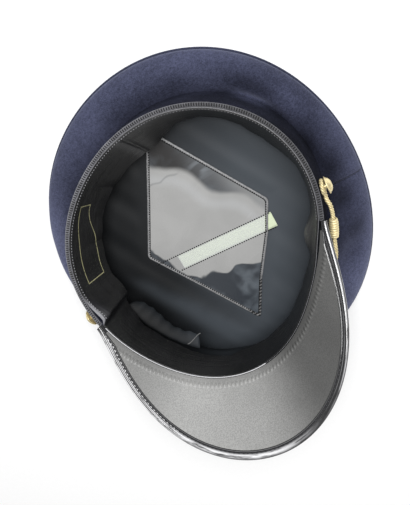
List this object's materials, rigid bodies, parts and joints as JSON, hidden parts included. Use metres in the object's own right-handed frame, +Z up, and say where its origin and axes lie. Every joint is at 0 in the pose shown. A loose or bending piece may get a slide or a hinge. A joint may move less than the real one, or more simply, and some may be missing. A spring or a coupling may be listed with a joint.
{
  "type": "peaked uniform cap",
  "caption": "Soft peaked cap with a wide flat crown, stiff band, sloping peak and cord chin strap, lying upside down on its crown with its lining and sweatband showing.",
  "frame": {"origin": "middle of the crown's flat face, where the cap rests", "axes": "+Z up out of the head opening, -Y towards the peak, +X towards the wearer's right"},
  "size_m": [0.249, 0.2688, 0.1288],
  "materials": {
    "navy_wool_top": "matt wool",
    "navy_wool_welt": "matt wool over a thin cord",
    "navy_wool_front": "matt wool",
    "navy_wool_back": "matt wool",
    "navy_wool_band": "matt wool over a stiffener",
    "ribbed_binding": "ribbed stitching",
    "black_leather": "semi-matt",
    "satin_tip": "satin",
    "satin_side": "satin",
    "clear_vinyl": "clear, glossy",
    "pale_piping": "semi-gloss",
    "pale_green_slip": "matt",
    "black_patent_board": "patent, glossy",
    "grey_leatherette": "fine grain, semi-matt",
    "black_patent_edge": "patent, glossy",
    "gold_cord": "twisted metallic thread",
    "gold_slide_right": "wound metallic thread",
    "gold_slide_left": "wound metallic thread",
    "gold_button_right": "polished",
    "gold_button_left": "polished"
  },
  "bodies": {
    "root": {"crown_top": "navy_wool_top", "crown_welt": "navy_wool_welt", "crown_side_front": "navy_wool_front", "crown_side_back": "navy_wool_back", "cap_band": "navy_wool_band", "rim_binding": "ribbed_binding", "sweatband": "black_leather", "lining_tip": "satin_tip", "lining_side": "satin_side", "sweat_shield": "clear_vinyl", "shield_piping": "pale_piping", "name_slip": "pale_green_slip", "peak": "black_patent_board", "peak_lining": "grey_leatherette", "peak_binding": "black_patent_edge", "chin_cord": "gold_cord", "chin_slide_right": "gold_slide_right", "chin_slide_left": "gold_slide_left", "chin_button_right": "gold_button_right", "chin_button_left": "gold_button_left"}
  },
  "joints": []
}
